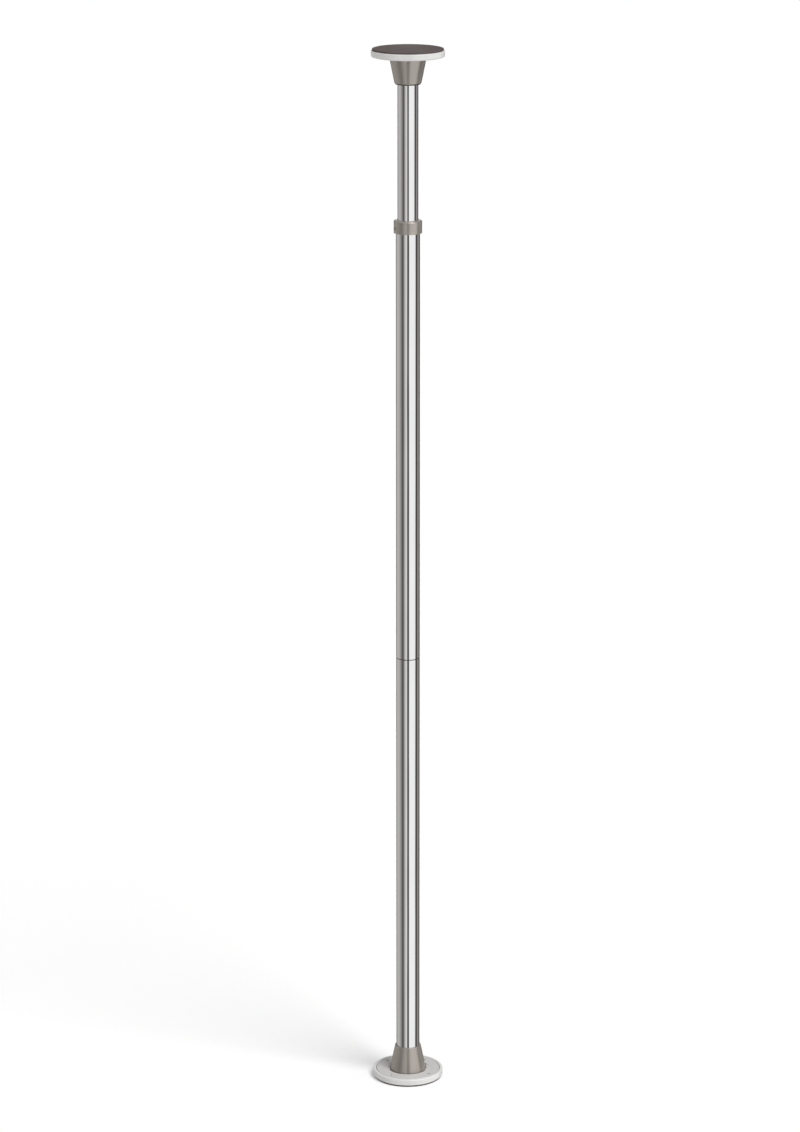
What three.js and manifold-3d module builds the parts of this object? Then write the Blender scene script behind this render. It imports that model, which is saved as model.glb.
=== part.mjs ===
// A tension dance pole that stands between a floor and a ceiling.
// Two chromed steel tubes screw together, and a slimmer third one telescopes out of the second.
// Each end has a tapered moulded foot with a rubber pad, which locks in a round, rubber-backed cap.
// Turning the pole climbs it on the jack screw in the lower foot, which tightens it under the ceiling.
// Millimetres, +Z up, origin on the floor on the pole's axis.
import * as THREE from "three";
import { mergeVertices } from "three/addons/utils/BufferGeometryUtils.js";
import Module from "manifold-3d";

const wasm = await Module();
wasm.setup();

// Clearances and finish sizes that all the pieces share
const seatGap = 0.3; // between two pieces where one sits on the other
const slideGap = 0.4; // round a piece that slides or turns in another
const chamfer = 0.6; // broken edges
const cutOverrun = 2; // how far a cutting tool runs past what it cuts

// Pole tubes: the two main ones and the slimmer extension, all of one length
const tubeDiameter = 50;
const tubeWall = 1.5;
const tubeLength = 930;
const extensionWall = 1.5;
const extensionOut = 339.2; // of the extension above the middle tube, pushed in as far as it is used

// Tapered foot, used at both ends
const footLength = 62;
const footWall = 3;
const footMouthWall = 2.1;
const footFlare = 13.4; // from the sleeve round the tube out to the bead at the foot's base
const footRibs = 6;
const footRibThickness = 2.4;
const beadHeight = 4.4;
const beadDepth = 2.4; // how far the bead stands proud of the cone above it
const footPadInset = 1.5; // how far the rubber pad is let into the foot's base
const footPadProud = 2.5; // how far it stands out of it
const footPadMargin = 2.6; // from the bead's edge in to the pad
const basePlateMargin = 5.6; // from the bead's edge in to the steel plate
const basePlateWeb = 1.9; // of the plate left above the heads that are sunk in it
const sunkHeadHeight = 1.8;
const plateScrews = 3;
const plateScrewDiameter = 3;
const plateScrewHeadRim = 1.3;
const plateScrewBossWall = 2.2;
const plateScrewDepthShare = 0.25; // of the height of the foot's cavity

// Round cap, used on the floor and at the ceiling
const capFloorThickness = 2.2;
const capRimWidth = 6.5;
const capRimProud = 0.5; // how far the rim stands above the plate
const capGroove = 1; // between the rim and the plate
const capPlateWidth = 24.6; // from the recess out to the groove
const capPlateWall = 2.2;
const capPadThickness = 3;
const capPadMargin = 2.2; // from the cap's edge in to the pad
const capScrewDiameter = 3;
const capScrewHeadRim = 1.5;
const capScrewBossWall = 2.2;
const recessClearance = 1.6; // round the foot's bead in the cap's recess
const recessLipHeight = 0.6;
const recessLipWidth = 2.4;
const fixingHoles = 4;
const fixingHoleDiameter = 5;
const fixingSinkWidth = 1.2;
const fixingBossWall = 3.2;
const fixingAngle = 23; // degrees from +X to the first hole
const lockTabs = 2;
const lockTabThickness = 2.4;
const lockTabSweep = 44; // degrees
const lockTabAngle = 148; // degrees from +X to the middle of the first tab
const lockNotchEase = 10; // degrees that a notch in the bead is wider than a tab

// Jack screw in the lower foot
const jackDiameter = 20;
const jackPitch = 5;
const jackThreadDepth = 1.6;
const jackTravel = 30;
const jackHeadRim = 5;
const jackWasherRim = 6;
const jackWasherThickness = 1.5;
const jackNutWall = 5;
const jackNutHeight = 10;
const jackPlugLength = 35;
const jackPlugLift = 0.9; // from the lock nut up to the plug that climbs the screw
const plugPinDiameter = 4;
const glideRingThickness = 2.5;
const nylonWall = 2;

// Screwed joint between the lower and middle tubes
const socketWall = 3; // under the thread's grooves
const socketLength = 48;
const studWall = 4.2; // under the thread's ridges
const studPitch = 6;
const studThreadDepth = 1.8;
const studLength = 40;
const studPlugLength = 50;
const seamWasherThickness = 0.8;

// Mouth of the middle tube, with the clamp that holds the extension
const mouthBushWall = 1.3;
const mouthBushLength = 40;
const bushLip = 2;
const collarWall = 4;
const collarDepth = 22; // below the tube's end
const collarLip = 2.4; // over the bush
const clampScrewDiameter = 6;
const clampKeyAcrossFlats = 3;
const clampKeyDepth = 3;
const clampPadThickness = 1.2;
const guideLength = 30;

// Swivel in the upper foot
const spindleDiameter = 12;
const spindleHeadRim = 4.7;
const spindleTail = 3; // showing past the nut
const spindleWasherRim = 6;
const spindleWasherThickness = 2;
const spindleNutWall = 3.5;
const spindleNutHeight = 10;
const swivelPlugLength = 40;
const thrustWasherThickness = 2.5;

// Sides of the round pieces
const capSides = 32;
const tubeSides = 24;
const fastenerSides = 16;
const holeSides = 8;
const screwSides = 6;

// Radii that follow from the sizes above
const tubeRadius = tubeDiameter / 2;
const tubeBore = tubeRadius - tubeWall;
const plugRadius = tubeBore - seatGap; // of what is fixed inside a main tube
const bushBore = plugRadius - mouthBushWall;
const extensionRadius = bushBore - slideGap;
const extensionBore = extensionRadius - extensionWall;
const collarRadius = tubeRadius + seatGap + collarWall;
const sleeveBore = tubeRadius + slideGap;
const sleeveRadius = sleeveBore + footWall;
const mouthRadius = sleeveBore + footMouthWall;
const footRadius = sleeveRadius + footFlare;
const neckRadius = footRadius - beadDepth;
const recessRadius = footRadius + recessClearance;
const capPlateRadius = recessRadius + capPlateWidth;
const rimInner = capPlateRadius + capGroove;
const capRadius = rimInner + capRimWidth;
const jackRadius = jackDiameter / 2;
const spindleRadius = spindleDiameter / 2;

// Heights in the foot, above its base
const neckHeight = beadHeight + chamfer;
const plateUnder = footPadInset + seatGap;
const sunkHeadTop = plateUnder + sunkHeadHeight;
const plateTop = sunkHeadTop + seatGap + basePlateWeb;
const plateSeat = plateTop + seatGap;
const glideRingTop = plateSeat + glideRingThickness;
const lowerTubeEnd = glideRingTop + seatGap;
const extensionEnd = plateSeat + thrustWasherThickness + seatGap;
const jackNutBottom = plateSeat + jackWasherThickness + seatGap;
const jackNutTop = jackNutBottom + jackNutHeight;
const jackPlugBottom = jackNutTop + jackPlugLift;

// Heights above the face that a cap stands on and, for the pole's pieces, above the floor
const capShellBottom = capPadThickness + seatGap;
const recessFloor = capShellBottom + capFloorThickness;
const footBase = recessFloor + seatGap + footPadProud;
const tabUnder = footBase + neckHeight + slideGap;
const capFace = tabUnder + lockTabThickness;
const capHeight = capFace + capRimProud;
const lowerTubeBottom = footBase + lowerTubeEnd;
const lowerTubeTop = lowerTubeBottom + tubeLength;
const middleTubeBottom = lowerTubeTop + seatGap + seamWasherThickness + seatGap;
const extensionTop = middleTubeBottom + tubeLength + extensionOut;
const headBase = extensionTop + extensionEnd;
const poleHeight = headBase + footBase;

// Finishes
const chrome = new THREE.MeshStandardMaterial({ color: 0xd9d8d6, roughness: 0.08, metalness: 1 });
const silverPlastic = new THREE.MeshStandardMaterial({ color: 0xa39e98, roughness: 0.38, metalness: 0.35 });
const whitePlastic = new THREE.MeshStandardMaterial({ color: 0xe2e1df, roughness: 0.42, metalness: 0 });
const paleGreyPlastic = new THREE.MeshStandardMaterial({ color: 0xc6c4c4, roughness: 0.5, metalness: 0 });
const brownRubber = new THREE.MeshStandardMaterial({ color: 0x5e5450, roughness: 0.92, metalness: 0 });
const zincSteel = new THREE.MeshStandardMaterial({ color: 0xb4b6b8, roughness: 0.35, metalness: 1 });
const aluminium = new THREE.MeshStandardMaterial({ color: 0xc4c6c8, roughness: 0.3, metalness: 1 });
const nylon = new THREE.MeshStandardMaterial({ color: 0x2b2b2d, roughness: 0.6, metalness: 0 });
const brass = new THREE.MeshStandardMaterial({ color: 0xb8955a, roughness: 0.35, metalness: 1 });

// Turns an outline of [radius, height] points about Z. The outline runs counter-clockwise,
// and either starts and ends on the axis or closes on its first point.
function turned(outline, sides) {
  const points = outline.map(([radius, height]) => new THREE.Vector2(radius, height));
  if (outline[0][0] > 0) points.push(points[0].clone());
  return new THREE.LatheGeometry(points, sides).rotateX(Math.PI / 2);
}

// A plain ring, or a disc where the inner radius is 0.
function ring(inner, outer, bottom, top, sides) {
  return turned([[inner, bottom], [outer, bottom], [outer, top], [inner, top]], sides);
}

// A disc with its lower edge broken, such as a pad.
function padDisc(radius, bottom, top, sides) {
  const edge = [[radius - chamfer, bottom], [radius, bottom + chamfer]];
  return turned([[0, bottom], ...edge, [radius, top], [0, top]], sides);
}

// A sector of a ring, its middle at an angle in degrees from +X.
function ringSector(inner, outer, bottom, top, middle, sweep) {
  const from = THREE.MathUtils.degToRad(middle - sweep / 2);
  const to = THREE.MathUtils.degToRad(middle + sweep / 2);
  const shape = new THREE.Shape();
  shape.absarc(0, 0, outer, from, to, false);
  shape.absarc(0, 0, inner, to, from, true);
  shape.closePath();
  const options = { depth: top - bottom, bevelEnabled: false, curveSegments: 6 };
  return new THREE.ExtrudeGeometry(shape, options).translate(0, 0, bottom);
}

// An upright hexagonal bar.
function hexBar(acrossFlats, bottom, top) {
  const corner = acrossFlats / Math.sqrt(3);
  return new THREE.CylinderGeometry(corner, corner, top - bottom, 6)
    .rotateX(Math.PI / 2)
    .translate(0, 0, (bottom + top) / 2);
}

// A screw that stands on its flat head.
function flatHeadScrew(radius, headRadius, bottom, headTop, tip) {
  const outline = [[0, bottom], [headRadius, bottom], [headRadius, headTop], [radius, headTop]];
  return turned([...outline, [radius, tip - radius], [0, tip]], screwSides);
}

// A hexagon nut with a clearance bore.
function nutShape(acrossFlats, bore, bottom, top) {
  const hole = ring(0, bore, bottom - cutOverrun, top + cutOverrun, fastenerSides);
  return shaped(hexBar(acrossFlats, bottom, top), [], [hole]);
}

// Corners of a thread's ridges from a start height. A negative pitch runs down.
function threadRidges(first, second, start, turns, pitch) {
  const ridges = Array.from({ length: turns }, (_, turn) => [
    [first, start + turn * pitch],
    [second, start + (turn + 1 / 2) * pitch],
  ]).flat();
  return [...ridges, [first, start + turns * pitch]];
}

// Angles of things spaced evenly round the axis, in degrees.
function anglesRound(count, first) {
  return Array.from({ length: count }, (_, index) => first + (360 * index) / count);
}

// Moves a shape out to a radius and an angle in degrees from +X.
function atPolar(geometry, radius, angle) {
  return geometry.translate(radius, 0, 0).rotateZ(THREE.MathUtils.degToRad(angle));
}

// Upright bars on a circle, to join or to cut with.
function barsRound(angles, circle, radius, bottom, top, sides) {
  return angles.map((angle) => atPolar(ring(0, radius, bottom, top, sides), circle, angle));
}

// Lays an upright shape down at a height, so that what was up points outwards along +X or -X.
function laidOutward(geometry, side, height) {
  return geometry.rotateY((side * Math.PI) / 2).translate(0, 0, height);
}

// A three.js geometry as a solid that can be joined and cut, and back again.
function solidOf(geometry) {
  const bare = geometry.clone();
  bare.deleteAttribute("normal");
  bare.deleteAttribute("uv");
  const merged = mergeVertices(bare);
  const vertProperties = merged.attributes.position.array;
  const triVerts = new Uint32Array(merged.index.array);
  return new wasm.Manifold(new wasm.Mesh({ numProp: 3, vertProperties, triVerts }));
}

function geometryOf(solid) {
  const mesh = solid.getMesh();
  const geometry = new THREE.BufferGeometry();
  geometry.setAttribute("position", new THREE.BufferAttribute(mesh.vertProperties, 3));
  geometry.setIndex(new THREE.BufferAttribute(mesh.triVerts, 1));
  geometry.computeVertexNormals();
  return geometry;
}

// A blank with shapes joined to it and then others cut out of it.
function shaped(blank, added, removed) {
  const whole = added.reduce((solid, extra) => solid.add(solidOf(extra)), solidOf(blank));
  return geometryOf(removed.reduce((solid, tool) => solid.subtract(solidOf(tool)), whole));
}

// A named mesh.
function piece(name, geometry, material) {
  const mesh = new THREE.Mesh(geometry, material);
  mesh.name = name;
  return mesh;
}

// The cap: a white tray, a pale grey plate sunk in it, screws that join them from beneath
// and a rubber pad that hides the screws. It is made face up, standing on its pad.
function makeCap(prefix) {
  const cap = new THREE.Group();
  const recessWall = recessRadius + capPlateWall;
  const skirtWall = capPlateRadius - capPlateWall;
  const skirtBottom = recessFloor + seatGap;
  const plateUnderside = capFace - capPlateWall;
  const bossTop = capFace - capPlateWall / 2;
  const circle = (recessWall + rimInner) / 2; // for the fixing holes and the screws between them

  const pad = padDisc(capRadius - capPadMargin, 0, capPadThickness, capSides);
  cap.add(piece(`${prefix}_pad`, pad, brownRubber));

  const round = capRimWidth / 3; // of the rim's outer edges
  const tray = turned([
    [0, capShellBottom],
    [capRadius - round, capShellBottom],
    [capRadius, capShellBottom + round],
    [capRadius, capHeight - round],
    [capRadius - round / 3, capHeight - round / 3],
    [capRadius - round, capHeight],
    [rimInner + round / 2, capHeight],
    [rimInner, capHeight - round / 3],
    [rimInner, recessFloor],
    [0, recessFloor],
  ], capSides);
  const holeAngles = anglesRound(fixingHoles, fixingAngle);
  const holeRadius = fixingHoleDiameter / 2;
  const fixingCuts = barsRound(holeAngles, circle, holeRadius, 0, capHeight + cutOverrun, holeSides);
  const screwAngles = anglesRound(fixingHoles, fixingAngle + 180 / fixingHoles);
  const screwRadius = capScrewDiameter / 2;
  const screwTip = plateUnderside - screwRadius;
  const pilotCuts = barsRound(screwAngles, circle, screwRadius + seatGap, 0, screwTip + seatGap, screwSides);
  const headRadius = screwRadius + capScrewHeadRim;
  const headTop = capShellBottom + capFloorThickness / 2;
  const headCuts = barsRound(screwAngles, circle, headRadius + seatGap, 0, headTop + seatGap, screwSides);
  const shell = shaped(tray, [], [...fixingCuts, ...pilotCuts, ...headCuts]);
  cap.add(piece(`${prefix}_shell`, shell, whitePlastic));

  const plate = turned([
    [recessRadius, skirtBottom],
    [recessWall, skirtBottom],
    [recessWall, plateUnderside],
    [skirtWall, plateUnderside],
    [skirtWall, skirtBottom],
    [capPlateRadius, skirtBottom],
    [capPlateRadius, capFace - chamfer],
    [capPlateRadius - chamfer, capFace],
    [recessRadius + recessLipWidth, capFace],
    [recessRadius + recessLipWidth - recessLipHeight, capFace + recessLipHeight],
    [recessRadius, capFace + recessLipHeight],
  ], capSides);
  const fixingBoss = holeRadius + fixingBossWall;
  const fixingBosses = barsRound(holeAngles, circle, fixingBoss, skirtBottom, bossTop, holeSides);
  const screwBoss = screwRadius + capScrewBossWall;
  const screwBosses = barsRound(screwAngles, circle, screwBoss, skirtBottom, bossTop, holeSides);
  const sinkRadius = holeRadius + fixingSinkWidth;
  const sink = [
    [0, capFace - fixingSinkWidth],
    [holeRadius, capFace - fixingSinkWidth],
    [sinkRadius, capFace],
    [sinkRadius, capFace + cutOverrun],
    [0, capFace + cutOverrun],
  ];
  const sinkCuts = holeAngles.map((angle) => atPolar(turned(sink, holeSides), circle, angle));
  const tabInner = neckRadius + slideGap;
  const tabs = anglesRound(lockTabs, lockTabAngle).map((angle) =>
    ringSector(tabInner, (recessRadius + recessWall) / 2, tabUnder, capFace, angle, lockTabSweep),
  );
  const joined = [...fixingBosses, ...screwBosses, ...tabs];
  const plateShape = shaped(plate, joined, [...fixingCuts, ...sinkCuts, ...pilotCuts]);
  cap.add(piece(`${prefix}_plate`, plateShape, paleGreyPlastic));

  screwAngles.forEach((angle, index) => {
    const screw = flatHeadScrew(screwRadius, headRadius, capShellBottom, headTop, screwTip);
    cap.add(piece(`${prefix}_screw_${index + 1}`, atPolar(screw, circle, angle), zincSteel));
  });
  return cap;
}

// Radius of the foot's conical outside at a height above its base, and the other way round.
const coneSlope = (mouthRadius - neckRadius) / (footLength - chamfer - neckHeight);

function coneRadius(height) {
  return neckRadius + (height - neckHeight) * coneSlope;
}

function coneHeight(radius) {
  return neckHeight + (radius - neckRadius) / coneSlope;
}

// The tapered foot: a moulded cone round a ribbed sleeve, closed by a steel plate and a rubber pad.
// The plate holds a screw or spindle by its sunk head. The foot is made with its base at height 0.
function makeFoot(prefix, shaftRadius, shaftHeadRim) {
  const foot = new THREE.Group();
  const padRadius = footRadius - footPadMargin;
  const padPocket = padRadius + slideGap;
  const plateRadius = footRadius - basePlateMargin;
  const platePocket = plateRadius + slideGap;
  const cavityRadius = coneRadius(plateSeat) - footWall;
  const cavityTop = coneHeight(sleeveRadius + footWall);
  const beadRound = beadHeight / 4;

  const cone = turned([
    [padPocket, 0],
    [footRadius - footPadMargin / 2, 0],
    [footRadius, beadRound],
    [footRadius, beadHeight - beadRound],
    [footRadius - footPadMargin / 2, beadHeight],
    [neckRadius, neckHeight],
    [mouthRadius, footLength - chamfer],
    [mouthRadius - chamfer, footLength],
    [sleeveBore, footLength],
    [sleeveBore, plateSeat],
    [sleeveRadius, plateSeat],
    [sleeveRadius, cavityTop],
    [cavityRadius, plateSeat],
    [platePocket, plateSeat],
    [platePocket, plateUnder],
    [padPocket, plateUnder],
  ], tubeSides);
  const ribInner = (sleeveBore + sleeveRadius) / 2;
  const ribReach = footWall / 2; // into the cone's wall
  const ribShape = new THREE.Shape([
    new THREE.Vector2(ribInner, plateSeat),
    new THREE.Vector2(cavityRadius + ribReach, plateSeat),
    new THREE.Vector2(sleeveRadius + ribReach, cavityTop),
    new THREE.Vector2(ribInner, cavityTop),
  ]);
  const ribs = anglesRound(footRibs, 0).map((angle) =>
    new THREE.ExtrudeGeometry(ribShape, { depth: footRibThickness, bevelEnabled: false })
      .translate(0, 0, -footRibThickness / 2)
      .rotateX(Math.PI / 2)
      .rotateZ(THREE.MathUtils.degToRad(angle)),
  );
  const screwRadius = plateScrewDiameter / 2;
  const screwTip = plateSeat + (cavityTop - plateSeat) * plateScrewDepthShare;
  const bossRadius = screwRadius + seatGap + plateScrewBossWall;
  const circle = sleeveRadius - footWall / 4 + bossRadius;
  const screwAngles = anglesRound(plateScrews, 180 / footRibs);
  const bosses = barsRound(screwAngles, circle, bossRadius, plateSeat, screwTip + screwRadius, screwSides);
  const pilotCuts = barsRound(screwAngles, circle, screwRadius + seatGap, 0, screwTip + seatGap, screwSides);
  const notchOuter = footRadius + cutOverrun;
  const notchSweep = lockTabSweep + lockNotchEase;
  const notches = anglesRound(lockTabs, lockTabAngle + 180 / lockTabs).map((angle) =>
    ringSector(neckRadius, notchOuter, -cutOverrun, neckHeight, angle, notchSweep),
  );
  const coneShape = shaped(cone, [...ribs, ...bosses], [...pilotCuts, ...notches]);
  foot.add(piece(`${prefix}_cone`, coneShape, silverPlastic));

  foot.add(piece(`${prefix}_pad`, padDisc(padRadius, -footPadProud, footPadInset, tubeSides), brownRubber));

  const shaftBore = shaftRadius + seatGap;
  const headBore = shaftBore + shaftHeadRim;
  const plate = turned([
    [headBore, plateUnder],
    [plateRadius, plateUnder],
    [plateRadius, plateTop],
    [shaftBore, plateTop],
    [shaftBore, sunkHeadTop + seatGap],
    [headBore, sunkHeadTop + seatGap],
  ], tubeSides);
  const headRadius = screwRadius + plateScrewHeadRim;
  const headCuts = barsRound(screwAngles, circle, headRadius + seatGap, 0, sunkHeadTop + seatGap, screwSides);
  foot.add(piece(`${prefix}_base_plate`, shaped(plate, [], [...headCuts, ...pilotCuts]), zincSteel));

  screwAngles.forEach((angle, index) => {
    const screw = flatHeadScrew(screwRadius, headRadius, plateUnder, sunkHeadTop, screwTip);
    foot.add(piece(`${prefix}_plate_screw_${index + 1}`, atPolar(screw, circle, angle), zincSteel));
  });
  return foot;
}

// The jack screw, clamped on the lower foot's plate by its sunk head, a washer and a lock nut.
function makeJack() {
  const jack = new THREE.Group();
  const root = jackRadius - jackThreadDepth;
  const bore = jackRadius + seatGap;
  const headRadius = jackRadius + jackHeadRim;
  const turns = Math.round((jackPlugLength + jackTravel) / jackPitch) + 1;
  const threadTop = jackPlugBottom + turns * jackPitch;
  const screw = turned([
    [0, plateUnder],
    [headRadius, plateUnder],
    [headRadius, sunkHeadTop],
    [jackRadius, sunkHeadTop],
    ...threadRidges(jackRadius, root, jackPlugBottom, turns, jackPitch),
    [root, threadTop + jackThreadDepth],
    [0, threadTop + jackThreadDepth],
  ], fastenerSides);
  jack.add(piece("jack_screw", screw, zincSteel));
  const washerTop = plateSeat + jackWasherThickness;
  const washer = ring(bore, jackRadius + jackWasherRim, plateSeat, washerTop, fastenerSides);
  jack.add(piece("jack_washer", washer, zincSteel));
  const nut = nutShape(2 * (jackRadius + jackNutWall), bore, jackNutBottom, jackNutTop);
  jack.add(piece("jack_lock_nut", nut, zincSteel));
  return jack;
}

// Nylon ring under the lower tube's end, kept by a lip inside the tube.
// It rises with the tube but doesn't turn with it.
function makeGlideRing() {
  const inner = plugRadius - nylonWall;
  const lipTop = (glideRingTop + jackPlugBottom) / 2;
  const outline = [
    [inner, plateSeat],
    [tubeRadius, plateSeat],
    [tubeRadius, glideRingTop],
    [plugRadius, glideRingTop],
    [plugRadius, lipTop],
    [inner, lipTop],
  ];
  return piece("foot_glide_ring", turned(outline, tubeSides), nylon);
}

// A round tube with the outer edges of its ends broken.
function tubeShape(radius, wall) {
  const edge = wall / 3;
  return turned([
    [radius - wall, 0],
    [radius - edge, 0],
    [radius, edge],
    [radius, tubeLength - edge],
    [radius - edge, tubeLength],
    [radius - wall, tubeLength],
  ], tubeSides);
}

// Two pins that hold a plug in a tube, one on each side, and the holes that they need.
function plugPins(prefix, inner, outer, height) {
  return [1, -1].map((side, index) => {
    const pin = ring(0, plugPinDiameter / 2, inner, outer - seatGap, screwSides);
    return piece(`${prefix}_pin_${index + 1}`, laidOutward(pin, side, height), zincSteel);
  });
}

function plugPinCuts(inner, outer, height) {
  return [1, -1].map((side) => {
    const hole = ring(0, plugPinDiameter / 2 + seatGap, inner - seatGap, outer + cutOverrun, screwSides);
    return laidOutward(hole, side, height);
  });
}

// Lower tube, with the nut plug that climbs the jack screw and the joiner stud in its top.
function makeLowerPole() {
  const lower = new THREE.Group();
  const plugBottom = jackPlugBottom - lowerTubeEnd; // above the tube's end
  const plugTop = plugBottom + jackPlugLength;
  const bore = jackRadius + slideGap;
  const root = bore + jackThreadDepth;
  const pinInner = (root + plugRadius) / 2;
  const pinHeight = (plugBottom + plugTop) / 2;
  const pinCuts = plugPinCuts(pinInner, tubeRadius, pinHeight);
  lower.add(piece("lower_tube", shaped(tubeShape(tubeRadius, tubeWall), [], pinCuts), chrome));

  const plugTurns = Math.round(jackPlugLength / jackPitch) - 1;
  const plug = turned([
    [bore, plugBottom],
    [plugRadius, plugBottom],
    [plugRadius, plugTop],
    [bore, plugTop],
    ...threadRidges(bore, root, plugTop - jackPitch / 2, plugTurns, -jackPitch),
  ], fastenerSides);
  lower.add(piece("jack_plug", shaped(plug, [], pinCuts), aluminium));
  lower.add(...plugPins("jack_plug", pinInner, tubeRadius, pinHeight));

  const crest = plugRadius - socketWall - studThreadDepth - slideGap;
  const studRoot = crest - studThreadDepth;
  const studBore = studRoot - studWall;
  const studTurns = Math.floor(studLength / studPitch);
  const studTop = tubeLength + studLength;
  const stud = turned([
    [studBore, tubeLength - studPlugLength],
    [plugRadius, tubeLength - studPlugLength],
    [plugRadius, tubeLength],
    [studRoot, tubeLength],
    ...threadRidges(studRoot, crest, studTop - studTurns * studPitch, studTurns, studPitch),
    [studBore, studTop],
  ], fastenerSides);
  lower.add(piece("joiner_stud", stud, aluminium));
  return lower;
}

// Thin nylon washer between the lower and middle tubes.
function makeSeamWasher() {
  const inner = plugRadius - socketWall; // clears the stud's thread as the socket's grooves do
  const outer = tubeRadius - tubeWall / 3;
  const washer = ring(inner, outer, seatGap, seatGap + seamWasherThickness, tubeSides);
  return piece("seam_washer", washer, nylon);
}

// Holes through the collar, the tube and the bush for the clamp's screws.
const clampHeight = tubeLength - collarDepth / 2; // above the middle tube's foot end
const clampScrewRadius = clampScrewDiameter / 2;

function clampCuts() {
  return [1, -1].map((side) => {
    const radius = clampScrewRadius + seatGap;
    const hole = ring(0, radius, extensionRadius - cutOverrun, collarRadius + cutOverrun, holeSides);
    return laidOutward(hole, side, clampHeight);
  });
}

// Middle tube, with the threaded socket in its foot end and the bush and collar at its mouth.
function makeMiddlePole() {
  const middle = new THREE.Group();
  middle.add(piece("middle_tube", shaped(tubeShape(tubeRadius, tubeWall), [], clampCuts()), chrome));

  const socketRoot = plugRadius - socketWall;
  const socketBore = socketRoot - studThreadDepth;
  const socketTurns = Math.round(socketLength / studPitch) - 1;
  const socket = turned([
    [socketBore, 0],
    [plugRadius, 0],
    [plugRadius, socketLength],
    [socketBore, socketLength],
    ...threadRidges(socketBore, socketRoot, socketLength - studPitch / 2, socketTurns, -studPitch),
  ], fastenerSides);
  middle.add(piece("joiner_socket", socket, aluminium));

  const lipBottom = tubeLength + seatGap;
  const lipTop = lipBottom + bushLip;
  const bush = turned([
    [bushBore, tubeLength - mouthBushLength],
    [plugRadius, tubeLength - mouthBushLength],
    [plugRadius, lipBottom],
    [tubeRadius, lipBottom],
    [tubeRadius, lipTop],
    [bushBore, lipTop],
  ], tubeSides);
  middle.add(piece("mouth_bush", shaped(bush, [], clampCuts()), nylon));

  const collarBore = tubeRadius + seatGap;
  const collarBottom = tubeLength - collarDepth;
  const lipUnder = lipTop + seatGap;
  const collar = turned([
    [collarBore, collarBottom],
    [collarRadius - chamfer, collarBottom],
    [collarRadius, collarBottom + chamfer],
    [collarRadius, lipUnder],
    [collarRadius - collarLip, lipUnder + collarLip],
    [bushBore, lipUnder + collarLip],
    [bushBore, lipUnder],
    [collarBore, lipUnder],
  ], tubeSides);
  middle.add(piece("clamp_collar", shaped(collar, [], clampCuts()), silverPlastic));
  return middle;
}

// One side of the clamp: a set screw in the collar and the small brass pad at its tip.
function makeClamp(name, side) {
  const padInner = extensionRadius + seatGap;
  const padOuter = padInner + clampPadThickness;
  const pad = ring(0, clampScrewRadius - seatGap, padInner, padOuter, holeSides);
  const screwInner = padOuter + seatGap;
  const blank = turned([
    [0, screwInner],
    [clampScrewRadius - chamfer, screwInner],
    [clampScrewRadius, screwInner + chamfer],
    [clampScrewRadius, collarRadius - chamfer],
    [clampScrewRadius - chamfer, collarRadius],
    [0, collarRadius],
  ], holeSides);
  const key = hexBar(clampKeyAcrossFlats, collarRadius - clampKeyDepth, collarRadius + cutOverrun);
  return [
    piece(`clamp_pad_${name}`, laidOutward(pad, side, clampHeight), brass),
    piece(`clamp_screw_${name}`, laidOutward(shaped(blank, [], [key]), side, clampHeight), zincSteel),
  ];
}

// Extension tube, with a guide round its foot end and the swivel's plug in its top.
function makeExtension() {
  const extension = new THREE.Group();
  const plugBore = spindleRadius + slideGap;
  const plugOuter = extensionBore - seatGap;
  const pinInner = (plugBore + plugOuter) / 2;
  const pinHeight = tubeLength - swivelPlugLength / 2;
  const pinCuts = plugPinCuts(pinInner, extensionRadius, pinHeight);
  const tube = shaped(tubeShape(extensionRadius, extensionWall), [], pinCuts);
  extension.add(piece("extension_tube", tube, chrome));

  const guide = turned([
    [extensionBore, -seatGap - nylonWall],
    [plugRadius, -seatGap - nylonWall],
    [plugRadius, guideLength],
    [extensionRadius + seatGap, guideLength],
    [extensionRadius + seatGap, -seatGap],
    [extensionBore, -seatGap],
  ], tubeSides);
  extension.add(piece("extension_guide", guide, nylon));

  const plug = ring(plugBore, plugOuter, tubeLength - swivelPlugLength, tubeLength, fastenerSides);
  extension.add(piece("swivel_plug", shaped(plug, [], pinCuts), aluminium));
  extension.add(...plugPins("swivel_plug", pinInner, extensionRadius, pinHeight));
  return extension;
}

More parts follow.
